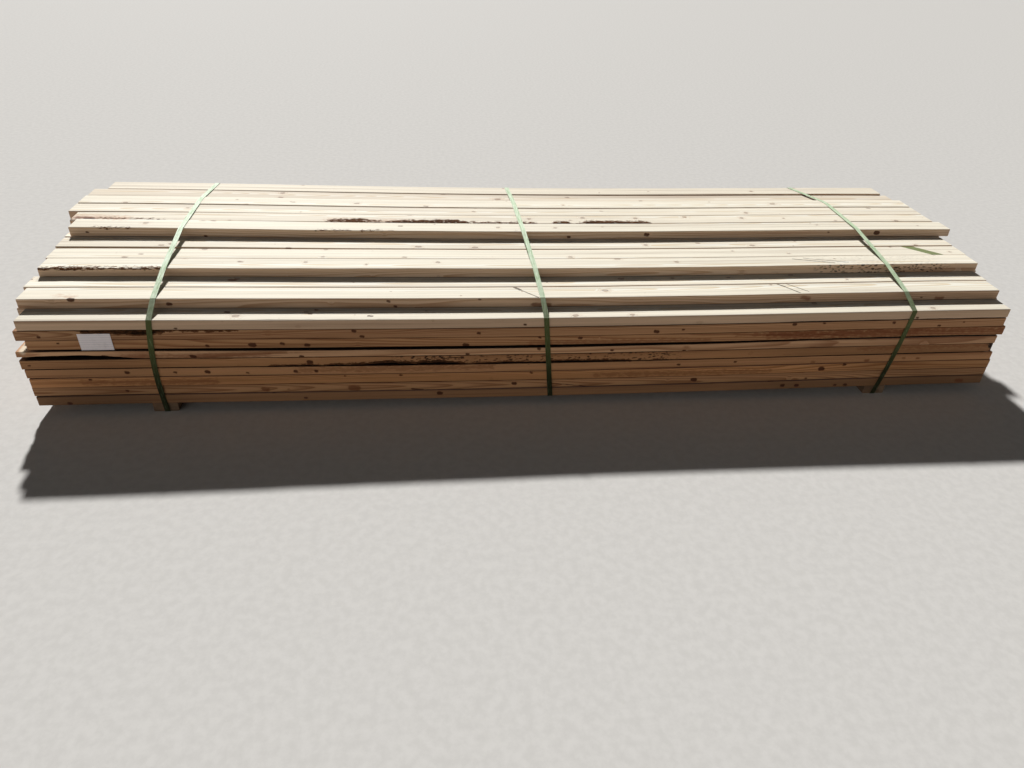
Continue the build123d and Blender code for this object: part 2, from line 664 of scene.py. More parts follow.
def build_growth_rings() -> SharedEffect:
    """Growth rings round a leaning pith, with fibres and broad streaks.

    Returns:
        The shared effect.
    """
    effect = SharedEffect(
        "growth rings",
        {"Place": "Vector", "Heart": "Vector", "Grain": "Vector", "Flow": "Float"},
        ("Late wood", "Fibres", "Streaks", "Checks"),
    )
    sheet, given, result = effect.start()
    place = given["Place"]
    x, y, z = place.parts()
    heart_y, heart_z, seed = given["Heart"].parts()
    lean_y, lean_z, ring = given["Grain"].parts()
    shift = sheet.joined(seed * 3.1, seed, seed * 1.7)
    sway = sheet.cloud(place.scaled((0.9, 5.0, 5.0), shift), output="Color")
    sway_y, sway_z, _ = sway.scaled((0.022, 0.022, 0.0), (-0.011, -0.011, 0.0)).parts()
    off_y = y - heart_y - x * lean_y + sway_y
    off_z = z - heart_z - x * lean_z + sway_z
    radius = sheet.vector("LENGTH", sheet.joined(off_y, off_z, 0.0))
    uneven = sheet.cloud(place.scaled((2.5, 30.0, 30.0), shift), detail=1.0)
    rings = radius / ring + uneven * 1.1 + given["Flow"] * 2.2
    phase = sheet.math("FRACT", rings)
    rays = sheet.cloud(sheet.joined(sheet.math("ARCTAN2", off_z, off_y) * 5.0, seed, 0.0), detail=1.0)
    values = (
        phase.climb(0.3, 0.92) * phase.climb(0.93, 1.0, 1.0, 0.0),
        sheet.cloud(place.scaled((9.0, 700.0, 700.0), shift)),
        sheet.cloud(place.scaled((0.55, 42.0, 42.0), shift), detail=4.0, rough=0.62),
        rays.climb(0.33, 0.27),
    )
    for name, value in zip(effect.outputs, values):
        sheet.feed(result.inputs[name], value)
    return effect


def build_knots(per_length: float = 4.2, per_width: float = 15.0) -> SharedEffect:
    """Round and oval knots, spread along every face of a stud.

    Args:
        per_length: Places for a knot in a metre along the stud.
        per_width: Places for a knot in a metre across it.

    Returns:
        The shared effect.
    """
    effect = SharedEffect(
        "knots",
        {"Place": "Vector", "Upright": "Float", "Seed": "Float", "Size": "Float"},
        ("Core", "Rim", "Halo"),
    )
    sheet, given, result = effect.start()
    x, y, z = given["Place"].parts()
    flat = sheet.math("GREATER_THAN", abs(given["Upright"]), 0.7)
    u = x * per_length + given["Seed"] * 7.13
    v = (flat * (y - z) + z) * per_width + given["Seed"] * 3.71
    cells = sheet.outputs(sheet.add(
        "ShaderNodeTexVoronoi", {"Vector": sheet.joined(u, v, 0.0), "Scale": 1.0, "Randomness": 1.0},
        voronoi_dimensions="2D", feature="F1",
    ))
    centre_u, centre_v, _ = cells["Position"].parts()
    chance, shape, _ = cells["Color"].parts()
    off_u = (u - centre_u) / ((shape * 0.9 + 0.9) * per_length)
    off_v = (v - centre_v) / per_width
    rough = sheet.cloud(given["Place"], 90.0)
    away = sheet.vector("LENGTH", sheet.joined(off_u, off_v, 0.0)) * (rough * 0.9 + 0.55)
    size = sheet.math("MAXIMUM", given["Size"] * chance.climb(0.42, 1.15), 0.1 * MM)
    share = away / size
    present = chance.climb(0.42, 0.47)
    values = (
        share.climb(0.85, 1.1, 1.0, 0.0),
        share.climb(0.7, 0.95) * share.climb(1.0, 1.25, 1.0, 0.0),
        share.climb(0.8, 3.4, 1.0, 0.0),
    )
    for name, value in zip(effect.outputs, values):
        sheet.feed(result.inputs[name], value * present)
    return effect


def build_stroke() -> SharedEffect:
    """A mark along a straight line, or a spot where the line has no length.

    Returns:
        The shared effect.
    """
    vectors = dict.fromkeys(("Place", "Start", "Reach"), "Vector")
    numbers = dict.fromkeys(("Radius", "Blur", "Fray", "Rough"), "Float")
    effect = SharedEffect("stroke", {**vectors, **numbers}, ("Mask",))
    sheet, given, result = effect.start()
    reach = given["Reach"]
    offset = sheet.vector("SUBTRACT", given["Place"], given["Start"])
    share = sheet.vector("DOT_PRODUCT", offset, reach) / sheet.vector("DOT_PRODUCT", reach, reach)
    share = sheet.out(sheet.add("ShaderNodeClamp", {"Value": share}))
    along = sheet.out(sheet.add("ShaderNodeVectorMath", {0: reach, "Scale": share}, operation="SCALE"))
    away = sheet.vector("LENGTH", sheet.vector("SUBTRACT", offset, along))
    away = given["Rough"] * given["Fray"] + away
    mask = away.climb(given["Radius"] - given["Blur"], given["Radius"] + given["Blur"], 1.0, 0.0)
    sheet.feed(result.inputs["Mask"], mask)
    return effect


@dataclass(frozen=True)
class Effects:
    """The shared effects that the wood is made of."""

    rings: SharedEffect = field(default_factory=build_growth_rings)
    knots: SharedEffect = field(default_factory=build_knots)
    stroke: SharedEffect = field(default_factory=build_stroke)


# Finishes

class MarkKind(Enum):
    """What a mark on the wood is: its colour, its strength, and how soft and ragged its edge is."""

    PAINT = ((108, 122, 66), 0.9, 1.2 * MM, 5 * MM)
    SCRATCH = ((70, 56, 40), 0.8, 1.2 * MM, 5 * MM)
    KNOT = ((70, 36, 20), 0.92, 2.2 * MM, 9 * MM)
    SOFT_KNOT = ((112, 62, 34), 0.7, 5 * MM, 12 * MM)
    CRACK = ((60, 32, 20), 0.85, 1.2 * MM, 5 * MM)
    BARK = ((60, 38, 26), 0.95, 2 * MM, 30 * MM)
    # Painted sunlight on a top that the sun catches
    PAINTED_SUNLIGHT = ((236, 222, 196), 0.9, 5 * MM, 6 * MM)
    RED_STAIN = ((200, 146, 108), 0.45, 16 * MM, 90 * MM)
    ROT = ((36, 24, 18), 0.96, 3 * MM, 40 * MM)
    HEARTWOOD = ((124, 72, 44), 0.45, 7 * MM, 40 * MM)
    # Painted shade that darkens the ends of the lower courses
    PAINTED_END_SHADE = ((26, 18, 12), 0.24, 190 * MM, 50 * MM)


@dataclass(frozen=True)
class Mark:
    """One mark on one course, in millimetres, kept to a band of its depth where one is given."""

    kind: MarkKind
    start: Number3
    end: Number3
    radius: float
    band: Optional[tuple[float, float]] = None


@dataclass(frozen=True)
class Cover:
    """Where the front stud of the course above lies: its front face and its two ends."""

    front: float
    left: float
    right: float


@dataclass(frozen=True)
class PineFinish:
    """Planed pine: rings, fibres, knots, tops painted paler as sun bleaching and as painted sunlight,
    painted shade at the steps and joints, bark at the wanes and weathered ends.
    """

    name: str
    marks: tuple[Mark, ...] = ()
    cover: Optional[Cover] = None
    joint: float = 1.0
    pale_early: Colour = colour(227, 201, 173)
    pale_late: Colour = colour(198, 160, 126)
    warm_early: Colour = colour(184, 134, 90)
    warm_late: Colour = colour(136, 86, 52)
    # Paler colours for what faces up: partly sun bleaching, partly painted sunlight on the tops
    bleached_and_sunlit_early: Colour = colour(252, 247, 231)
    bleached_and_sunlit_late: Colour = colour(234, 216, 184)
    streak: Colour = colour(172, 112, 74)
    knot: Colour = colour(116, 68, 40)
    knot_rim: Colour = colour(52, 32, 22)
    bark: Colour = colour(44, 29, 19)
    bark_edge: Colour = colour(100, 65, 40)
    # Dust-grey painted shadow at the foot of the step above
    dust: Colour = colour(84, 86, 95)
    # Near-black painted shade in the gap under the step above
    painted_gap_shade: Colour = colour(22, 16, 12)
    step_shadow_reach: float = 44 * MM
    # Yard dirt; on the bearers it is also painted shade
    grime_and_shade: Colour = colour(92, 80, 66)
    mould: Colour = colour(44, 34, 27)
    joint_dirt_and_shade: Colour = colour(70, 48, 34)
    # Dirt and painted shade in the joints along the eased edges
    fleck: Colour = colour(150, 120, 96)
    end_grain: Colour = colour(168, 140, 108)
    knot_size: float = 8.5 * MM

    def build(self, effects: Effects) -> bpy.types.Material:
        """Material of the wood.

        Args:
            effects: The shared effects.

        Returns:
            The new material.
        """
        material, sheet = blank_material(self.name)
        place = sheet.place()
        heart = sheet.attribute("heart")
        light, warm, bleach_and_sunlight = sheet.attribute("tone").parts()
        bark, mould, grime_and_shade = sheet.attribute("marks").parts()
        facing_x, facing_y, facing_z = sheet.facing()
        knots = effects.knots.place(sheet, {
            "Place": place, "Upright": facing_z, "Seed": heart.parts()[2], "Size": self.knot_size,
        })
        off_front = facing_y.climb(-0.9, -0.6, 0.12, 1.0)
        rings = effects.rings.place(sheet, {
            "Place": place, "Heart": heart, "Grain": sheet.attribute("grain"),
            "Flow": knots["Halo"] * off_front,
        })
        late = rings["Late wood"] * 0.85
        early_wood = sheet.blend(warm, self.pale_early, self.warm_early)
        late_wood = sheet.blend(warm, self.pale_late, self.warm_late)
        streaks = rings["Streaks"].climb(0.52, 0.8)
        wood = sheet.blend(streaks * 0.6, sheet.blend(late, early_wood, late_wood), self.streak, "MULTIPLY")

        # What faces up is painted paler, partly as sun bleaching and partly as painted sunlight, and the
        # eased edges are darkened with packed dirt and painted shade in the joints
        upward = facing_z.climb(0.6, 0.9)
        bleached_and_sunlit = sheet.blend(late, self.bleached_and_sunlit_early, self.bleached_and_sunlit_late)
        wood = sheet.blend(upward * bleach_and_sunlight, wood, sheet.blend(streaks * 0.3, bleached_and_sunlit, self.streak))
        lit = light * rings["Fibres"].climb(0.2, 0.8, 0.93, 1.05)
        lit *= rings["Streaks"].climb(0.25, 0.75, 1.12, 0.86)
        wood = sheet.blend(1.0, wood, sheet.joined(lit, lit, lit), "MULTIPLY")
        # Darken the eased edges with packed dirt and painted shade in the joints
        slant = abs(facing_z)
        eased = slant.climb(0.2, 0.4) * slant.climb(0.93, 0.985, 1.0, 0.0)
        packed_dirt_and_shade = (bleach_and_sunlight * -0.5 + 0.62) * rings["Streaks"].climb(0.3, 0.6, 0.45 * self.joint, self.joint)
        wood = sheet.blend(eased * packed_dirt_and_shade, wood, self.joint_dirt_and_shade)
        flecks = sheet.cloud(place.scaled((7.0, 260.0, 260.0)), detail=3.0, rough=0.6)
        wood = sheet.blend(flecks.climb(0.66, 0.78) * 0.42, wood, self.fleck, "MULTIPLY")

        faint = (1.0 - upward * bleach_and_sunlight * 0.6) * off_front
        ends = abs(facing_x).climb(0.75, 0.95)
        wood = sheet.blend(knots["Halo"] * 0.35 * faint, wood, self.streak)
        wood = sheet.blend(knots["Core"] * faint, wood, self.knot)
        wood = sheet.blend(knots["Rim"] * faint, wood, self.knot_rim)
        wood = sheet.blend(ends * 0.3, wood, self.end_grain, "MULTIPLY")
        wood = sheet.blend(ends * rings["Checks"] * 0.7, wood, self.knot_rim)
        # Paint the shadow of the step above and the shade in the gap under it
        if self.cover:
            wood = self.paint_step_shade(sheet, wood, place, upward)
        wood = self.darkened(sheet, wood, place, mould * (1.0 - upward * 0.85), grime_and_shade)
        wood = self.marked(sheet, wood, place, effects.stroke)

        flakes = sheet.cloud(place.scaled((46.0, 150.0, 150.0)), detail=5.0, rough=0.7)
        crust = flakes * 1.1 + bark
        rough_bark = sheet.blend(flakes.climb(0.42, 0.6), self.bark, self.bark_edge)
        wood = sheet.blend(crust.climb(1.24, 1.3), wood, self.bark_edge)
        wood = sheet.blend(crust.climb(1.29, 1.35), wood, rough_bark)
        height = late * 0.35 + rings["Fibres"] * 0.55 + crust.climb(1.26, 1.36) * flakes
        planed = rings["Fibres"].climb(0.2, 0.8, 0.56, 0.72)
        rough = sheet.math("MAXIMUM", planed, crust.climb(1.24, 1.32, 0.0, 0.98))
        sheet.surface({
            "Base Color": wood, "Roughness": rough,
            "Normal": sheet.bump(height, 0.45, 0.6 * MM), "Specular IOR Level": 0.1,
        })
        return material

    def paint_step_shade(self, sheet: Sheet, wood: Signal, place: Signal, upward: Signal) -> Signal:
        """Painted shadow at the foot of the step above, as a dust-grey band, and painted shade in the gap
        under it.

        Args:
            sheet: The material's sheet.
            wood: Colour so far.
            place: Object coordinates.
            upward: How far the surface faces up, from 0 to 1.

        Returns:
            The new colour.
        """
        x, y, _ = place.parts()
        front, left, right = self.cover.front, self.cover.left, self.cover.right
        uneven = sheet.cloud(place.scaled((6.0, 60.0, 60.0)), detail=3.0)
        near = y.climb(front - self.step_shadow_reach, front - 0.4 * self.step_shadow_reach)
        near *= uneven.climb(0.2, 0.7, 0.36, 0.52)
        near *= x.climb(left - 6 * MM, left + 10 * MM)
        near *= x.climb(right - 10 * MM, right + 6 * MM, 1.0, 0.0)
        under = y.climb(front + 0.5 * MM, front + 3 * MM)
        under *= y.climb(front + 60 * MM, front + 85 * MM, 1.0, 0.0)
        under *= x.climb(left + 3 * MM, left + 30 * MM)
        under *= x.climb(right - 30 * MM, right - 3 * MM, 1.0, 0.0)
        # Paint the step's shadow, then the shade in the gap under it
        wood = sheet.blend(near * upward, wood, self.dust)
        return sheet.blend(under * upward, wood, self.painted_gap_shade)

    def darkened(self, sheet: Sheet, wood: Signal, place: Signal, mould: Signal, grime_and_shade: Signal) -> Signal:
        """Mould in specks, and dirt from the yard, which on the bearers also stands for painted shade.

        Args:
            sheet: The material's sheet.
            wood: Colour so far.
            place: Object coordinates.
            mould: How mouldy the surface is, from 0 to 1.
            grime_and_shade: How dirty it is, from 0 to 1; on the bearers this also paints their shade.

        Returns:
            The new colour.
        """
        astray = sheet.cloud(place.scaled((34.0, 90.0, 90.0)), output="Color")
        astray = astray.scaled((2.0, 2.0, 2.0), (-1.0, -1.0, -1.0))
        cells = place.scaled((64.0, 150.0, 150.0), astray)
        specks = sheet.outputs(sheet.add("ShaderNodeTexVoronoi", {"Vector": cells, "Scale": 1.0}))
        mould *= specks["Color"].parts()[0].climb(0.28, 0.42)
        mould *= specks["Distance"].climb(0.3, 0.58, 1.0, 0.0)
        mould *= sheet.cloud(place.scaled((9.0, 42.0, 42.0))).climb(0.3, 0.46)
        wood = sheet.blend(mould * 0.9, wood, self.mould)
        dirt = sheet.cloud(place.scaled((14.0, 30.0, 30.0)), detail=5.0, rough=0.65).climb(0.3, 0.7)
        return sheet.blend(grime_and_shade * (dirt * 0.6 + 0.4), wood, self.grime_and_shade)

    def marked(self, sheet: Sheet, wood: Signal, place: Signal, stroke: SharedEffect) -> Signal:
        """The single marks that the photograph shows.

        Args:
            sheet: The material's sheet.
            wood: Colour so far.
            place: Object coordinates.
            stroke: The shared effect of a mark along a line.

        Returns:
            The new colour.
        """
        depth = place.parts()[1]
        ragged = sheet.cloud(place.scaled((60.0, 160.0, 160.0)), detail=3.0) - 0.5
        for mark in self.marks:
            tint, strength, blur, fray = mark.kind.value
            start = Vector(mark.start) * MM
            mask = stroke.place(sheet, {
                "Place": place, "Start": start, "Reach": Vector(mark.end) * MM - start,
                "Radius": mark.radius * MM, "Blur": blur, "Fray": fray, "Rough": ragged,
            })["Mask"]
            if mark.band:
                mask *= sheet.math("GREATER_THAN", depth, mark.band[0] * MM)
                mask *= sheet.math("LESS_THAN", depth, mark.band[1] * MM)
            wood = sheet.blend(mask * strength, wood, colour(*tint))
        return wood


@dataclass(frozen=True)
class StrapFinish:
    """Green plastic strap with rolled diamonds, scuffed pale where it is handled, with painted sunlight and
    glints on its upward runs and painted shade darkening it towards the foot.
    """

    name: str = "green strap"
    base: Colour = colour(76, 82, 38)
    # Painted shade towards the strap's foot
    darkened: Colour = colour(22, 22, 7)
    pale: Colour = colour(214, 232, 198)
    dull: Colour = colour(176, 204, 156)
    diamonds_per_metre: float = 420.0
    ridge_pitch: float = 3.5 * MM

    def build(self) -> bpy.types.Material:
        """Material of the strap.

        Returns:
            The new material.
        """
        material, sheet = blank_material(self.name)
        x, y, z = sheet.place().parts()
        run = y + z
        turns = self.diamonds_per_metre * math.pi
        diamonds = sheet.math("SINE", (x + run) * turns) * sheet.math("SINE", (x - run) * turns)
        wrinkles = sheet.cloud(sheet.joined(x * 20.0, run * 45.0, 0.0), detail=3.0)
        scuffs = sheet.cloud(sheet.joined(x * 300.0, run * 26.0, 3.0), detail=4.0, rough=0.7)
        folds = sheet.cloud(sheet.joined(x * 190.0, run * 14.0, 7.0))
        welded = sheet.attribute("weld").parts()[0]
        ridges = sheet.math("SINE", z * (2.0 * math.pi / self.ridge_pitch)) * welded
        # Paint sunlight and glints, in streaks, on the upward runs
        painted_sunlit_top = sheet.blend(folds.climb(0.34, 0.54), self.dull, self.pale)
        # Paint shade that darkens the strap towards its foot
        base = sheet.blend(z.climb(60 * MM, 330 * MM, 0.85, 0.0), self.base, self.darkened)
        base = sheet.blend(scuffs.climb(0.52, 0.74, 0.0, 0.34), base, self.dull)
        base = sheet.blend(sheet.facing()[2].climb(0.88, 0.985, 0.0, 0.94), base, painted_sunlit_top)
        base = sheet.blend(welded * 0.5, base, self.pale)
        height = diamonds * 0.12 + wrinkles * 1.6 + folds * 2.2 + ridges * 0.5
        sheet.surface({
            "Base Color": base, "Roughness": scuffs.climb(0.3, 0.7, 0.36, 0.52),
            "Normal": sheet.bump(height, 0.7, 1.5 * MM), "Specular IOR Level": 0.18,
            "Coat Weight": 0.04, "Coat Roughness": 0.3,
        })
        return material


@dataclass(frozen=True)
class PaperFinish:
    """White label paper with faint ruled lines and a little dust."""

    name: str = "label paper"
    paper: Colour = colour(240, 230, 230)
    line: Colour = colour(164, 160, 168)
    dust: Colour = colour(150, 128, 104)
    line_pitch: float = 9 * MM
    foot: float = 268 * MM

    def build(self) -> bpy.types.Material:
        """Material of the label.

        Returns:
            The new material.
        """
        material, sheet = blank_material(self.name)
        place = sheet.place()
        level = (place.parts()[2] - self.foot) / self.line_pitch
        from_line = abs(sheet.math("FRACT", level) - 0.5)
        fade = sheet.cloud(place, 260.0, 3.0)
        ruled = from_line.climb(0.035, 0.075, 1.0, 0.0) * fade.climb(0.25, 0.6, 0.25, 0.6)
        dust = sheet.cloud(place, 45.0, 5.0, 0.65).climb(0.5, 0.8, 0.0, 0.22)
        sheet.surface({
            "Base Color": sheet.blend(dust, sheet.blend(ruled, self.paper, self.line), self.dust),
            "Roughness": fade.climb(0.2, 0.8, 0.6, 0.75),
            "Normal": sheet.bump(sheet.cloud(place, 60.0, 3.0), 0.35, 1.0 * MM),
        })
        return material


# The studs of the stack

# Colours of the studs that show, by course; the high lightness of the lower courses is partly their own tone
# and partly painted light that makes up for the shade that falls on them
COURSE_TONES: dict[int, Tone] = {
    1: Tone(light=0.92, warm=0.88, bleach_and_sunlight=0.0),
    2: Tone(light=1.18, warm=0.9, bleach_and_sunlight=0.0),
    3: Tone(light=1.33, warm=1.0, bleach_and_sunlight=0.0),
    4: Tone(light=1.29, warm=0.92, bleach_and_sunlight=0.0),
    5: Tone(light=1.12, warm=0.96, bleach_and_sunlight=0.0),
    6: Tone(light=1.2, warm=0.78, bleach_and_sunlight=0.0),
    7: Tone(light=0.95, warm=0.94, bleach_and_sunlight=0.0),
    8: Tone(light=1.02, warm=0.88, bleach_and_sunlight=0.0),
    9: Tone(light=0.93, warm=0.26, bleach_and_sunlight=0.95),
    10: Tone(light=0.96, warm=0.36, bleach_and_sunlight=0.98),
    11: Tone(light=0.98, warm=0.13, bleach_and_sunlight=0.99),
    12: Tone(light=0.98, warm=0.08, bleach_and_sunlight=0.97),
}

# How dark the eased edges along the joints of a course are, with dirt and painted shade, where it isn't the
# usual 1
JOINTS: dict[int, float] = {1: 0.8, 2: 0.8, 3: 0.3, 4: 0.3, 5: 0.4, 6: 0.5, 7: 0.8, 8: 0.6}

# Colours of single studs, by course and place from the front
STUD_TONES: dict[tuple[int, int], Tone] = {
    (12, 12): Tone(light=0.97, warm=0.2, bleach_and_sunlight=0.86),
    (12, 11): Tone(light=0.93, warm=0.3, bleach_and_sunlight=0.72),
    (12, 10): Tone(light=1.0, warm=0.1, bleach_and_sunlight=0.96),
    (12, 9): Tone(light=0.98, warm=0.15, bleach_and_sunlight=0.9),
    (12, 8): Tone(light=0.99, warm=0.2, bleach_and_sunlight=0.9),
    (11, 7): Tone(light=1.0, warm=0.1, bleach_and_sunlight=0.97),
    (11, 6): Tone(light=0.98, warm=0.2, bleach_and_sunlight=0.92),
    (11, 5): Tone(light=1.0, warm=0.1, bleach_and_sunlight=0.98),
    (10, 4): Tone(light=1.0, warm=0.1, bleach_and_sunlight=0.97),
    (10, 3): Tone(light=1.0, warm=0.1, bleach_and_sunlight=0.97),
}

# Waney edges, by course and place from the front
WANES: dict[tuple[int, int], tuple[Wane, ...]] = {
    (12, 7): (
        Wane(Corner.UPPER_FRONT, -1.72, -1.56, 4.5 * MM, bark=0.71, fade=60 * MM, ragged=1.2),
        Wane(Corner.UPPER_FRONT, -0.88, -0.62, 3.6 * MM, bark=0.71, fade=80 * MM, ragged=1.4),
        Wane(Corner.UPPER_FRONT, -0.09, -0.03, 6 * MM, bark=0.62, fade=30 * MM),
    ),
    (12, 8): (
        Wane(Corner.UPPER_FRONT, -1.88, -1.5, 8 * MM, bark=0.7, ragged=0.6, breadth=3.0),
        Wane(Corner.UPPER_FRONT, -0.83, -0.6, 9 * MM, bark=0.8, ragged=0.6, breadth=3.4),
        Wane(Corner.UPPER_FRONT, -0.54, -0.22, 9 * MM, bark=0.86, ragged=1.1, fade=80 * MM, breadth=3.0),
        Wane(Corner.UPPER_FRONT, -0.3, 0.02, 6 * MM, bark=0.78, ragged=0.7, breadth=1.4),
        Wane(Corner.UPPER_FRONT, 0.15, 0.5, 9 * MM, bark=0.9, ragged=0.8, breadth=1.8),
    ),
    (11, 4): (
        Wane(Corner.UPPER_FRONT, -1.84, -1.4, 5 * MM, bark=0.76, fade=80 * MM, ragged=1.3, breadth=1.2),
    ),
    (9, 1): (
        Wane(Corner.UPPER_FRONT, -1.1, -0.5, 5 * MM, ragged=0.9),
        Wane(Corner.LOWER_FRONT, 0.9, 2.0, 5 * MM, ragged=0.4, breadth=1.6),
    ),
    (8, 1): (
        Wane(Corner.UPPER_FRONT, -1.6, -1.5, 8 * MM, bark=0.95, ragged=0.4, fade=50 * MM, breadth=4.0),
        Wane(Corner.UPPER_FRONT, -1.5, -1.36, 14 * MM, bark=1.0, ragged=0.2, fade=50 * MM, breadth=4.0),
        Wane(Corner.UPPER_FRONT, -1.36, -1.1, 5 * MM, bark=0.8, ragged=0.9, fade=80 * MM),
        Wane(Corner.LOWER_FRONT, 0.8, 2.0, 4 * MM, ragged=0.4, breadth=1.4),
    ),
    (6, 1): (
        Wane(Corner.UPPER_FRONT, -2.0, 2.0, 4 * MM, ragged=0.1),
        Wane(Corner.LOWER_FRONT, -1.88, -1.5, 16 * MM, bark=0.5, ragged=0.2, breadth=4.0),
    ),
    (5, 1): (
        Wane(Corner.UPPER_FRONT, -2.0, -1.0, 4 * MM, ragged=0.5),
        Wane(Corner.LOWER_FRONT, -0.98, -0.66, 8 * MM, bark=0.8, ragged=1.0, fade=90 * MM, breadth=1.6),
        Wane(Corner.LOWER_FRONT, -0.7, -0.3, 15 * MM, bark=0.9, ragged=0.8, fade=140 * MM, breadth=1.3),
        Wane(Corner.LOWER_FRONT, -0.3, 0.42, 6 * MM, bark=0.8, ragged=0.9, fade=160 * MM, breadth=2.0),
    ),
    (4, 1): (
        Wane(Corner.UPPER_FRONT, -0.8, 0.45, 4 * MM, bark=0.6, ragged=1.2, fade=250 * MM),
    ),
}

# How far the upper side of a stud has sunk, in millimetres, at even steps along its length
SUNK: dict[tuple[int, int], tuple[float, ...]] = {
    (12, 12): (1.0, 0.5),
    (12, 11): (1.5, 8),
    (12, 9): (3, 2.5),
    (12, 8): (6.5, 3.5, 2.5, 2.5, 2.5, 2.5, 2.5, 2.5, 2.5),
    (12, 7): (0.0, 1.5, 3, 3, 3, 3.5, 3.5, 4, 4),
    (11, 5): (5.5, 4.5, 2.5, 1, 1, 1, 1, 1.5, 1.5),
    (11, 4): (4.5, 3.5, 1.5, 0.0, 0.0, 0.0, 0.0, 0.0, 0.0),
    (6, 1): (5, 6, 9, 10, 10, 10, 9, 8, 4, 3, 3),
    (5, 1): (1.5, 0.0),
    (4, 1): (2.5, 3.0),
    (2, 1): (0.8, 1.4),
}

# A stud that has not sunk
LEVEL = (0.0, 0.0)

# How far a stud has followed the front stud of its course towards the front, in millimetres
PUSHED: dict[tuple[int, int], float] = {(11, 5): 8, (11, 6): 4.5}

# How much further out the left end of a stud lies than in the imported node, in millimetres
DRAWN: dict[tuple[int, int], float] = {(11, 7): 8, (9, 2): 14, (10, 4): 6}

# Where a stud is mouldy, from one place along it to another, in metres
MOULD: dict[tuple[int, int], tuple[float, float]] = {(11, 4): (1.14, 1.68), (5, 1): (-0.55, 0.5)}

# Where the stack's front, the studs' left ends and a stud's length lie, in millimetres
STACK_FRONT = -542.0
STACK_LEFT = -1821.0
STUD_LENGTH = 3658.0

# How far behind the stack's front the marks on the front of a course lie, in millimetres
SET_BACK: dict[int, float] = {2: 4.0, 4: 2.0, 10: 87.0}

# Marks on the upper sides and edges, by course: their two ends and their radius, in millimetres
MARKS: dict[int, tuple[Mark, ...]] = {
    12: (
        Mark(MarkKind.RED_STAIN, (-1850, 130, 498), (-1640, 110, 498), 26),
        Mark(MarkKind.HEARTWOOD, (-1820, 120, 491), (-1745, 112, 490), 13),
        Mark(MarkKind.SOFT_KNOT, (-1816, 124, 492), (-1762, 116, 492), 10),
        Mark(MarkKind.KNOT, (-1786, 114, 492), (-1752, 111, 492), 5),
        Mark(MarkKind.RED_STAIN, (-830, 112, 490), (-500, 108, 487), 16),
    ),
    11: (
        Mark(MarkKind.PAINT, (1572, -60, 460), (1742, -224, 459), 19, band=(-190, -101)),
        Mark(MarkKind.SCRATCH, (1050, -218, 454.5), (1210, -262, 456.2), 2.4),
        Mark(MarkKind.SCRATCH, (1100, -212, 455), (1270, -258, 456.8), 2.0),
    ),
    10: (
        Mark(MarkKind.RED_STAIN, (-1700, -430, 422), (-1650, -440, 422), 6),
        Mark(MarkKind.SCRATCH, (-106, -368, 409), (-88, -388, 409), 6.0),
        Mark(MarkKind.SCRATCH, (-88, -388, 409), (-27, -450, 409), 2.6),
        Mark(MarkKind.SCRATCH, (930, -366, 415), (952, -392, 415), 4.2),
        Mark(MarkKind.SCRATCH, (952, -392, 415), (990, -444, 415.6), 3.0),
        Mark(MarkKind.SCRATCH, (968, -366, 415), (1030, -436, 416), 2.4),
    ),
    # Painted sunlight on the top of course 6's left end
    6: (Mark(MarkKind.PAINTED_SUNLIGHT, (-1814, -525, 262), (-1814, -440, 264), 16, band=(-560, -453)),),
}

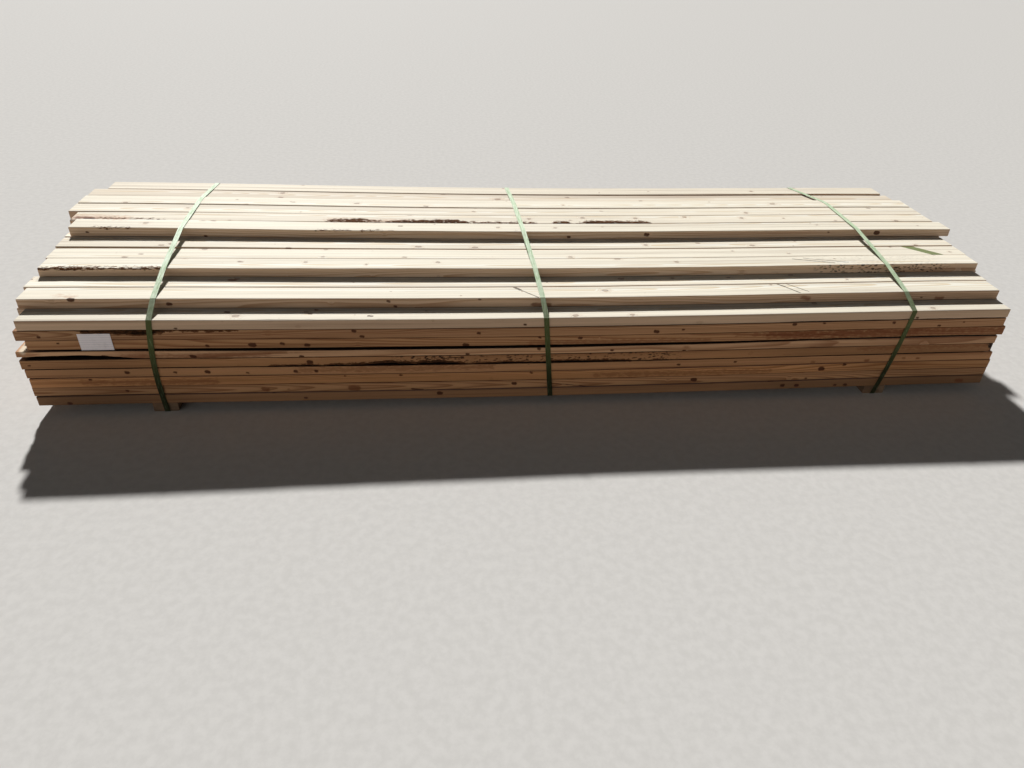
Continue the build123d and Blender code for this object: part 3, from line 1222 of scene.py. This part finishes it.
# Marks on the front faces, by course: the X and Z of both ends, and the radius, in millimetres. The broad
# dark marks at the ends of the lower courses are painted shade.
FRONT_MARKS: dict[int, tuple[tuple[MarkKind, float, float, float, float, float], ...]] = {
    10: (
        (MarkKind.SOFT_KNOT, 1000, 399, 1026, 394, 8),
        (MarkKind.SOFT_KNOT, 1558, 391, 1584, 390, 7),
        (MarkKind.SOFT_KNOT, -44, 381, 16, 379, 8),
    ),
    8: ((MarkKind.PAINTED_END_SHADE, -1860, 320, -1560, 318, 180),),
    7: (
        (MarkKind.CRACK, 850, 286, 1160, 281, 3.4),
        (MarkKind.HEARTWOOD, 720, 288, 1860, 297, 7),
        (MarkKind.HEARTWOOD, 800, 288, 1860, 297, 8),
        (MarkKind.HEARTWOOD, -60, 268, 620, 266, 8),
        (MarkKind.HEARTWOOD, 860, 282, 1860, 289, 14),
        (MarkKind.HEARTWOOD, 920, 282, 1460, 287, 13),
    ),
    6: (
        (MarkKind.CRACK, -1560, 243, -1530, 238, 4.0),
        (MarkKind.HEARTWOOD, -1500, 240, -1000, 236, 7),
    ),
    5: (
        (MarkKind.PAINTED_END_SHADE, -1860, 210, -1560, 208, 170),
        (MarkKind.PAINTED_END_SHADE, 1050, 206, 1860, 211, 170),
        (MarkKind.HEARTWOOD, 1250, 217, 1800, 222, 7),
        (MarkKind.ROT, 1802, 226, 1824, 202, 11),
        (MarkKind.BARK, -470, 212, -310, 210, 1.6),
    ),
    4: (
        (MarkKind.PAINTED_END_SHADE, -1860, 172, -1560, 170, 190),
        (MarkKind.SOFT_KNOT, 1292, 160, 1302, 160, 5),
        (MarkKind.SOFT_KNOT, 1448, 168, 1456, 168, 4.5),
        (MarkKind.SOFT_KNOT, 1510, 167, 1518, 166, 4),
        (MarkKind.SOFT_KNOT, 1069, 158, 1077, 158, 4.5),
        (MarkKind.HEARTWOOD, -900, 168, -200, 166, 9),
    ),
    3: (
        (MarkKind.PAINTED_END_SHADE, 1400, 134, 1860, 135, 180),
        (MarkKind.HEARTWOOD, -1650, 134, -1200, 128, 9),
        (MarkKind.HEARTWOOD, 200, 122, 900, 122, 8),
    ),
    2: (
        (MarkKind.PAINTED_END_SHADE, -1860, 96, -1520, 95, 200),
        (MarkKind.PAINTED_END_SHADE, 1560, 96, 1860, 97, 180),
        (MarkKind.SOFT_KNOT, -724, 85, -700, 82, 11),
        (MarkKind.SOFT_KNOT, -1040, 88, -1026, 85, 8),
        (MarkKind.CRACK, 20, 87, 120, 74, 1.6),
        (MarkKind.CRACK, 120, 74, 200, 64, 1.6),
        (MarkKind.CRACK, -500, 74, -458, 68, 3.0),
    ),
    1: (
        (MarkKind.PAINTED_END_SHADE, -1860, 58, -1520, 56, 210),
        (MarkKind.PAINTED_END_SHADE, -1860, 58, -1640, 57, 200),
        (MarkKind.PAINTED_END_SHADE, 1050, 54, 1860, 58, 200),
        (MarkKind.PAINTED_END_SHADE, 1560, 57, 1860, 58, 180),
        (MarkKind.SOFT_KNOT, 1728, 55, 1748, 53, 8),
    ),
}

# Knots on the front faces: place along the studs, height and radius, in millimetres, by course
FRONT_KNOTS: dict[int, tuple[Number3, ...]] = {
    12: ((1532, 477, 11), (1307, 480, 4), (494, 468, 9), (160, 458, 6), (-1302, 461, 5), (-1742, 478, 4)),
    10: ((-1329, 397, 8), (-1648, 418, 10), (-573, 400, 6), (-550, 378, 5), (-244, 403, 5), (1494, 394, 5)),
    9: ((-1294, 348, 4), (-84, 345, 5), (1439, 352, 5)),
    8: (
        (-1744, 321, 5), (-695, 328, 7), (-668, 305, 7), (-251, 312, 6), (412, 308, 9), (515, 315, 5),
        (948, 331, 7), (1066, 334, 5), (1351, 332, 5), (1544, 315, 6), (1644, 330, 4),
    ),
    7: (
        (-1691, 296, 4), (-1203, 276, 6), (-1051, 276, 11), (-947, 281, 7), (-862, 272, 8), (126, 284, 7),
        (-298, 262, 9), (-26, 289, 5),
    ),
    6: ((-1259, 235, 9), (-887, 227, 7), (-292, 224, 6), (252, 230, 5), (533, 222, 6), (-26, 240, 6)),
    5: ((-1809, 209, 4), (-860, 201, 9)),
    4: (
        (-1496, 172, 7), (-1334, 168, 6), (-1223, 167, 8), (-1085, 160, 5), (-916, 163, 7), (-842, 162, 6),
        (525, 158, 6), (751, 165, 5),
    ),
    3: ((-1625, 146, 5), (-740, 140, 4), (-538, 137, 5), (-48, 136, 5), (1116, 127, 11), (1208, 143, 6)),
    2: ((-1515, 93, 5), (-112, 87, 8), (599, 86, 10), (1065, 80, 4)),
    1: (
        (-1720, 46, 7), (-395, 52, 9), (-892, 46, 6), (973, 51, 8), (1033, 50, 8), (1197, 46, 5),
        (1241, 47, 7),
    ),
}

# Knots on the upper faces: place along the studs, depth and radius, in millimetres, by course
TOP_KNOTS: dict[int, tuple[Number3, ...]] = {
    12: ((-433, 281, 6), (-539, 54, 5), (-1286, 84, 6), (222, 421, 6), (346, 238, 4), (1625, 257, 5)),
    11: (
        (-1503, -154, 5), (-1550, -182, 6), (-1125, -224, 6), (-970, -96, 6), (-520, -176, 5), (707, -47, 5),
    ),
    10: ((-1144, -307, 9),),
    9: ((-1131, -483, 6), (-847, -497, 5), (-828, -468, 4), (-636, -515, 6)),
}

# Course whose knots on top are dark
STRONG_TOP_KNOTS = 9


def photo_marks(course: int) -> tuple[Mark, ...]:
    """All the single marks of one course.

    Args:
        course: Number of the course, from the floor.

    Returns:
        The marks, with a short slanted stroke for each knot.
    """
    low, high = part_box(course_node(course))
    front = low[1] / MM
    top = high[2] / MM
    marks = list(MARKS.get(course, ()))
    depth = STACK_FRONT + SET_BACK.get(course, 0.0)
    for kind, start_x, start_z, end_x, end_z, radius in FRONT_MARKS.get(course, ()):
        marks.append(Mark(kind, (start_x, depth, start_z), (end_x, depth, end_z), radius))
    for x, height, radius in FRONT_KNOTS.get(course, ()):
        start = (x - radius * 0.5, front, height + radius * 0.15)
        marks.append(Mark(MarkKind.KNOT, start, (x + radius * 0.5, front, height), radius * 0.8))
    kind = MarkKind.KNOT if course == STRONG_TOP_KNOTS else MarkKind.SOFT_KNOT
    for x, depth, radius in TOP_KNOTS.get(course, ()):
        place = 1 + int((depth - STACK_FRONT) * MM / STUD_PITCH)
        sunk = along_steps(SUNK.get((course, place), LEVEL), (x - STACK_LEFT) / STUD_LENGTH)
        level = top - sunk - SETTLING.drop(x * MM, top * MM) / MM
        start = (x - radius, depth + radius * 0.3, level)
        marks.append(Mark(kind, start, (x + radius, depth, level), radius * 0.8))
    return tuple(marks)


@dataclass
class Course:
    """One layer of studs, shaped anew inside the room of its node."""

    number: int
    bow: float = 2.5 * MM
    long_waves: float = 0.8
    short_waves: float = 2.3
    back_clearance: float = 1.3 * MM

    def slots(self) -> dict[int, tuple[Vector, Vector]]:
        """Room of each stud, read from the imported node.

        Returns:
            The lowest and highest corner of each stud, by its place from the front.
        """
        node = course_node(self.number)
        low, high = room_of(node)
        count = round((high.y - low.y) / STUD_PITCH)
        corners = [Vector(point.co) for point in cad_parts[node].data.vertices]
        rooms: dict[int, tuple[Vector, Vector]] = {}
        for index in range(count):
            place = STUDS_ACROSS - index
            front = low.y if index == count - 1 else high.y - index * STUD_PITCH - STUD_WIDTH
            back = front + STUD_WIDTH
            middle = (front + back) / 2
            inside = [corner.x for corner in corners if abs(corner.y - middle) < STUD_PITCH / 2]
            left = min(inside) - DRAWN.get((self.number, place), 0.0) * MM
            pushed = PUSHED.get((self.number, place), 0.0) * MM
            rooms[place] = (
                Vector((left, front - pushed, low.z)), Vector((max(inside), back - pushed, high.z)),
            )
        return rooms

    def cover(self) -> Optional[Cover]:
        """Where the front stud of the course above lies.

        Returns:
            Its front face and ends, or nothing for the top course.
        """
        if self.number == COURSES[-1]:
            return None
        rooms = Course(self.number + 1).slots()
        low, high = rooms[min(rooms)]
        return Cover(low.y, low.x, high.x)

    def shown(self) -> set[int]:
        """Which studs show their front or their upper side.

        Returns:
            Their places from the front.
        """
        places = self.slots()
        if self.number == COURSES[-1]:
            return set(places)
        above = min(Course(self.number + 1).slots())
        return {place for place in places if place == min(places) or place < above}

    def detail(self, place: int, shown: bool) -> Detail:
        """How finely to cut one stud.

        Args:
            place: The stud's place from the front.
            shown: Whether the photograph shows it.

        Returns:
            The detail that fits what shows of it.
        """
        if shown:
            return Detail.FINE
        if place == STUDS_ACROSS or self.number == COURSES[0]:
            return Detail.PLAIN
        return Detail.HIDDEN

    def tone(self, place: int, shown: bool) -> Tone:
        """Colour of one stud.

        Args:
            place: The stud's place from the front.
            shown: Whether the photograph shows it.

        Returns:
            The colour, drawn at random for a stud of which only the ends show.
        """
        if (self.number, place) in STUD_TONES:
            return STUD_TONES[self.number, place]
        usual = COURSE_TONES[self.number]
        if shown:
            return usual
        rough = random.Random(self.number * 31 + place)
        warm = min(1.0, max(0.0, between(usual.warm, rough.uniform(0.05, 0.8), 0.7)))
        return Tone(light=rough.uniform(0.9, 1.04), warm=warm, bleach_and_sunlight=0.3)

    def build(self, material: bpy.types.Material) -> None:
        """Make the course and dress it.

        Args:
            material: The wood.
        """
        shown = self.shown()
        whole = bmesh.new()
        for name in LAYERS:
            whole.verts.layers.float_vector.new(name)
        buffer = bpy.data.meshes.new("one stud")
        for place, (low, high) in self.slots().items():
            key = (self.number, place)
            stud = Stud(
                low, high, seed=self.number * 100 + place, detail=self.detail(place, place in shown),
                tone=self.tone(place, place in shown), wanes=WANES.get(key, ()), mould=MOULD.get(key),
                sunk=tuple(depth * MM for depth in SUNK.get(key, LEVEL)),
            )
            mesh = stud.shape()
            mesh.to_mesh(buffer)
            mesh.free()
            whole.from_mesh(buffer)
        bpy.data.meshes.remove(buffer)
        self.bend(whole)
        node = course_node(self.number)
        finish_piece(f"{node}_studs", whole, material, node)

    def bend(self, mesh: bmesh.types.BMesh) -> None:
        """Bow the whole course backwards a little, where the stack has room for it.

        Args:
            mesh: The course's mesh, changed in place.
        """
        _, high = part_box(course_node(self.number))
        room = max(0.0, min(self.bow, CAD_BOX[1][1] - high[1] - self.back_clearance))
        row = self.number * 5.3
        for point in mesh.verts:
            wave = wander(point.co.x * self.long_waves, row, 2.0)
            wave += 0.5 * wander(point.co.x * self.short_waves, row, 7.0)
            point.co.y += room * min(1.0, max(0.0, 0.5 + wave))


@dataclass
class Bearer:
    """A stud laid across under the bundle, dirty from the yard and painted darker as the shade under it."""

    side: str
    seed: int
    # Dirt and painted shade on the bearer
    tone: Tone = Tone(light=0.7, warm=0.6, bleach_and_sunlight=0.05, grime_and_shade=0.75)

    def build(self, material: bpy.types.Material) -> None:
        """Make the bearer and dress it.

        Args:
            material: Its wood.
        """
        node = f"bearer_{self.side}"
        low, high = room_of(node)
        stud = Stud(low, high, seed=self.seed, detail=Detail.PLAIN, along=1, tone=self.tone)
        finish_piece(f"{node}_timber", stud.shape(), material, node)


# The straps

@dataclass(frozen=True)
class StrapLine:
    """Where the middle of a strap lies along the studs, at six places on its way round."""

    foot: float
    shoulder: float
    crest: float
    bend: float
    back_top: float
    back_foot: float


@dataclass
class Strap:
    """A strap drawn tight round the stepped stack, with a welded joint at the back."""

    side: str
    line: StrapLine
    foot_z: float
    front_bow: float = 0.0
    width: float = 19 * MM
    thickness: float = 1.0 * MM
    fit: float = 0.2 * MM
    bend_depth: float = 870 * MM
    weld_z: float = 250 * MM
    weld_length: float = 42 * MM
    cut_length: float = 36 * MM
    round_steps: int = 32

    @cached_property
    def posts(self) -> list[tuple[float, float]]:
        """Middles of the eased edges that the strap goes round.

        Returns:
            Their depths and heights, from the foot of the front round to the foot of the back.
        """
        boxes = [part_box(course_node(number)) for number in COURSES]
        front = boxes[0][0][1] + EASED_EDGE
        back = boxes[-1][1][1] - EASED_EDGE
        foot = self.foot_z + EASED_EDGE
        shoulder = boxes[FULL_COURSES - 1][1][2] - EASED_EDGE
        steps = [(low[1] + EASED_EDGE, high[2] - EASED_EDGE) for low, high in boxes[FULL_COURSES:]]
        return [(front, foot), (front, shoulder), *steps, (back, steps[-1][1]), (back, foot)]

    def wrap(self) -> bmesh.types.BMesh:
        """Band that is stretched over the posts, as a skin without thickness.

        Returns:
            A new mesh, as wide as the strap and centred on X = 0.
        """
        mesh = bmesh.new()
        radius = EASED_EDGE + self.fit
        turn = Matrix.Rotation(math.pi / 2, 4, "Y")
        for depth, height in self.posts:
            for side in (-self.width / 2, self.width / 2):
                place = Matrix.Translation((side, depth, height)) @ turn
                bmesh.ops.create_circle(
                    mesh, cap_ends=False, radius=radius, segments=self.round_steps, matrix=place,
                )
        hull = bmesh.ops.convex_hull(mesh, input=mesh.verts, use_existing_faces=False)
        inner = {*hull["geom_interior"], *hull["geom_unused"]}
        unused = [item for item in inner if isinstance(item, bmesh.types.BMVert)]
        bmesh.ops.delete(mesh, geom=unused, context="VERTS")
        loose = [edge for edge in mesh.edges if not edge.link_faces]
        bmesh.ops.delete(mesh, geom=loose, context="EDGES")
        mesh.normal_update()
        caps = [face for face in mesh.faces if abs(face.normal.x) > 0.9]
        bmesh.ops.delete(mesh, geom=caps, context="FACES")
        bmesh.ops.dissolve_limit(
            mesh, angle_limit=math.radians(1.0), verts=mesh.verts, edges=mesh.edges,
            use_dissolve_boundaries=False,
        )
        return mesh

    def cut(self, mesh: bmesh.types.BMesh) -> None:
        """Cut the long runs, so that the band can bend with the stack.

        Args:
            mesh: The band, changed in place.
        """
        front, foot = self.posts[0]
        back, top = self.posts[-2]
        cuts = []
        for start, end, axis in ((front, back, 1), (foot, top, 2)):
            count = round((end - start) / self.cut_length)
            cuts += [(between(start, end, (index + 0.5) / count), axis) for index in range(count)]
        cuts += [(self.weld_z + side * self.weld_length / 2, 2) for side in (-1.0, 1.0)]
        for place, axis in cuts:
            normal = Vector((0.0, 0.0, 0.0))
            normal[axis] = 1.0
            geometry = [*mesh.verts, *mesh.edges, *mesh.faces]
            bmesh.ops.bisect_plane(
                mesh, geom=geometry, dist=0.05 * MM, plane_co=normal * place, plane_no=normal,
            )

    def middle_x(self, y: float, z: float) -> float:
        """Place of the strap's middle along the studs.

        Args:
            y: Depth of a point on the strap.
            z: Height of that point.

        Returns:
            Its X.
        """
        line = self.line
        front, foot = self.posts[0]
        shoulder_z = self.posts[1][1]
        back, top = self.posts[-2]
        if y < front and z <= shoulder_z:
            share = max(0.0, (z - foot) / (shoulder_z - foot))
            return between(line.foot, line.shoulder, share) + self.front_bow * math.sin(math.pi * share)
        if y > back:
            return between(line.back_foot, line.back_top, min(1.0, max(0.0, (z - foot) / (top - foot))))
        if z < foot:
            return between(line.foot, line.back_foot, (y - front) / (back - front))
        bend_y = front - EASED_EDGE + self.bend_depth
        crest_y = self.posts[-3][0]
        runs = ((front, line.shoulder), (crest_y, line.crest), (bend_y, line.bend), (back, line.back_top))
        for (near_y, near_x), (far_y, far_x) in zip(runs, runs[1:]):
            if y <= far_y:
                return between(near_x, far_x, max(0.0, (y - near_y) / (far_y - near_y)))
        return line.back_top

    def build(self, material: bpy.types.Material) -> None:
        """Make the strap and dress it.

        Args:
            material: Its plastic.
        """
        mesh = self.wrap()
        self.cut(mesh)
        bmesh.ops.remove_doubles(mesh, verts=mesh.verts, dist=0.01 * MM)
        bmesh.ops.recalc_face_normals(mesh, faces=mesh.faces)
        top_face = max(mesh.faces, key=lambda face: face.calc_center_median().z)
        if top_face.normal.z < 0:
            bmesh.ops.reverse_faces(mesh, faces=mesh.faces)
        for point in mesh.verts:
            point.co.x += self.middle_x(point.co.y, point.co.z)
        bmesh.ops.solidify(mesh, geom=mesh.faces[:], thickness=-self.thickness)
        bmesh.ops.reverse_faces(mesh, faces=mesh.faces)
        self.weld(mesh)
        SETTLING.apply(mesh)
        finish_piece(f"strap_{self.side}_band", mesh, material, f"strap_{self.side}")

    def weld(self, mesh: bmesh.types.BMesh) -> None:
        """Thicken the back of the band where its ends overlap, and mark that place for the finish.

        Args:
            mesh: The band with its thickness, changed in place.
        """
        mesh.normal_update()
        back = self.posts[-2][0]
        faces = [
            face for face in mesh.faces
            if face.normal.y > 0.9 and face.calc_center_median().y > back
            and abs(face.calc_center_median().z - self.weld_z) < self.weld_length / 2
        ]
        grown = bmesh.ops.extrude_face_region(mesh, geom=faces)["geom"]
        moved = [item for item in grown if isinstance(item, bmesh.types.BMVert)]
        bmesh.ops.delete(mesh, geom=faces, context="FACES")
        bmesh.ops.translate(mesh, vec=(0.0, self.thickness, 0.0), verts=moved)
        welded = mesh.verts.layers.float_vector.new("weld")
        outside = back + EASED_EDGE + self.fit + 1.5 * self.thickness
        for point in mesh.verts:
            point[welded] = (1.0 if point.co.y > outside else 0.0, 0.0, 0.0)


@dataclass
class Label:
    """Blank paper label, stuck over the joint of two courses."""

    cells: tuple[int, int] = (22, 12)
    crease_scale: float = 34.0
    crease_height: float = 0.25 * MM

    def build(self, material: bpy.types.Material) -> None:
        """Make the label and dress it.

        Args:
            material: Its paper.
        """
        low, high = room_of("label")
        size = high - low
        middle = (low + high) / 2
        mesh = bmesh.new()
        bmesh.ops.create_grid(mesh, x_segments=self.cells[0], y_segments=self.cells[1], size=0.5)
        bmesh.ops.transform(mesh, matrix=Matrix.Rotation(math.pi / 2, 4, "X"), verts=mesh.verts)
        bmesh.ops.scale(mesh, vec=(size.x, 1.0, size.z), verts=mesh.verts)
        bmesh.ops.translate(mesh, vec=(middle.x, high.y, middle.z), verts=mesh.verts)
        for point in mesh.verts:
            crease = wander(point.co.x * self.crease_scale, 0.0, point.co.z * self.crease_scale)
            point.co.y -= self.crease_height * max(0.0, crease)
        bmesh.ops.solidify(mesh, geom=mesh.faces[:], thickness=size.y)
        bmesh.ops.recalc_face_normals(mesh, faces=mesh.faces)
        SETTLING.apply(mesh)
        finish_piece("label_paper", mesh, material, "label")


# The studio

@dataclass(frozen=True)
class Lamp:
    """One distant lamp: its strength, and in degrees its width, height and turn from behind."""

    name: str
    strength: float
    softness: float
    altitude: float
    turn: float

    def build(self) -> None:
        """Hang the lamp."""
        data = bpy.data.lights.new(self.name, "SUN")
        data.energy = self.strength
        data.angle = math.radians(self.softness)
        tilt = Matrix.Rotation(-math.radians(90.0 - self.altitude), 4, "X")
        stand(self.name, data).matrix_world = Matrix.Rotation(math.radians(self.turn), 4, "Z") @ tilt


@dataclass
class Studio:
    """Plain pale floor, soft light and the camera at the photograph's place."""

    focal_pixels: float = 721.0
    picture_width: float = 1024.0
    sensor_width: float = 36.0
    view_reach: float = 200.0
    camera_place: Number3 = (-0.4261, -2.8087, 1.6160)
    pitch: float = 33.743
    roll: float = 2.980
    yaw: float = -7.673
    key: Lamp = Lamp("key", 4.65, 3.0, 39.0, 12.0)
    fill: Lamp = Lamp("fill", 0.58, 60.0, 6.0, 145.0)
    sky_strength: float = 0.035
    sky: Colour = colour(212, 209, 204)
    floor_half: float = 40.0
    floor_dark: Colour = colour(206, 203, 198)
    floor_light: Colour = colour(214, 211, 206)

    def camera(self) -> None:
        """Put the camera where the photograph was taken."""
        data = bpy.data.cameras.new("camera")
        data.sensor_width = self.sensor_width
        data.sensor_fit = "HORIZONTAL"
        data.lens = self.focal_pixels * data.sensor_width / self.picture_width
        data.clip_end = self.view_reach
        camera = stand("camera", data)
        down = math.radians(90.0 - self.pitch)
        turned = Matrix.Rotation(math.radians(self.yaw), 4, "Z") @ Matrix.Rotation(down, 4, "X")
        turned = turned @ Matrix.Rotation(math.radians(self.roll), 4, "Z")
        camera.matrix_world = Matrix.Translation(self.camera_place) @ turned
        bpy.context.scene.camera = camera

    def world(self) -> None:
        """Hang an even sky, which the camera and mirrored rays see as pale."""
        world = bpy.data.worlds.new("sky")
        world.use_nodes = True
        world.node_tree.nodes.clear()
        sheet = Sheet(world.node_tree)
        white = (1.0, 1.0, 1.0, 1.0)
        even = sheet.add("ShaderNodeBackground", {"Color": white, "Strength": self.sky_strength})
        seen = sheet.add("ShaderNodeBackground", {"Color": self.sky, "Strength": 1.0})
        path = sheet.outputs(sheet.add("ShaderNodeLightPath"))
        ray = sheet.math("MAXIMUM", path["Is Camera Ray"], path["Is Glossy Ray"])
        ray = sheet.math("MAXIMUM", ray, path["Is Transmission Ray"])
        chosen = sheet.add("ShaderNodeMixShader", {0: ray, 1: even.outputs[0], 2: seen.outputs[0]})
        sheet.add("ShaderNodeOutputWorld", {"Surface": chosen.outputs[0]})
        bpy.context.scene.world = world

    def floor(self) -> None:
        """Lay the pale floor."""
        mesh = bmesh.new()
        bmesh.ops.create_grid(mesh, x_segments=1, y_segments=1, size=self.floor_half)
        material, sheet = blank_material("pale floor")
        speckle = sheet.cloud(sheet.place(), 35.0, 4.0, 0.6)
        sheet.surface({
            "Base Color": sheet.blend(speckle.climb(0.3, 0.7), self.floor_dark, self.floor_light),
            "Roughness": speckle.climb(0.2, 0.8, 0.85, 0.95), "Specular IOR Level": 0.1,
        })
        place_mesh("floor", mesh, material)

    def build(self) -> None:
        """Set up the camera, the lights, the sky and the floor."""
        self.camera()
        self.key.build()
        self.fill.build()
        self.world()
        self.floor()
        bpy.context.scene.view_settings.view_transform = "Standard"


def main() -> None:
    """Build the bundle piece by piece."""
    logging.basicConfig(level=logging.INFO, format="%(name)s: %(message)s")
    Studio().build()
    effects = Effects()
    bearer_wood = PineFinish("pine").build(effects)
    for number in COURSES:
        course = Course(number)
        joint = JOINTS.get(number, 1.0)
        finish = PineFinish(f"pine {number:02d}", photo_marks(number), course.cover(), joint)
        course.build(finish.build(effects))
    for bearer in (Bearer("left", 904), Bearer("right", 905)):
        bearer.build(bearer_wood)
    plastic = StrapFinish().build()
    bearer_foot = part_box("bearer_left")[0][2]
    stack_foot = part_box(course_node(COURSES[0]))[0][2]
    left = StrapLine(-1.393, -1.377, -1.390, -1.394, -1.370, -1.377)
    middle = StrapLine(0.030, -0.007, -0.033, -0.039, -0.051, -0.022)
    right = StrapLine(1.372, 1.419, 1.432, 1.446, 1.358, 1.368)
    Strap("left", left, bearer_foot, front_bow=-13 * MM).build(plastic)
    Strap("middle", middle, stack_foot).build(plastic)
    Strap("right", right, bearer_foot, front_bow=7 * MM).build(plastic)
    Label().build(PaperFinish().build())


if __name__ == "__main__":
    main()
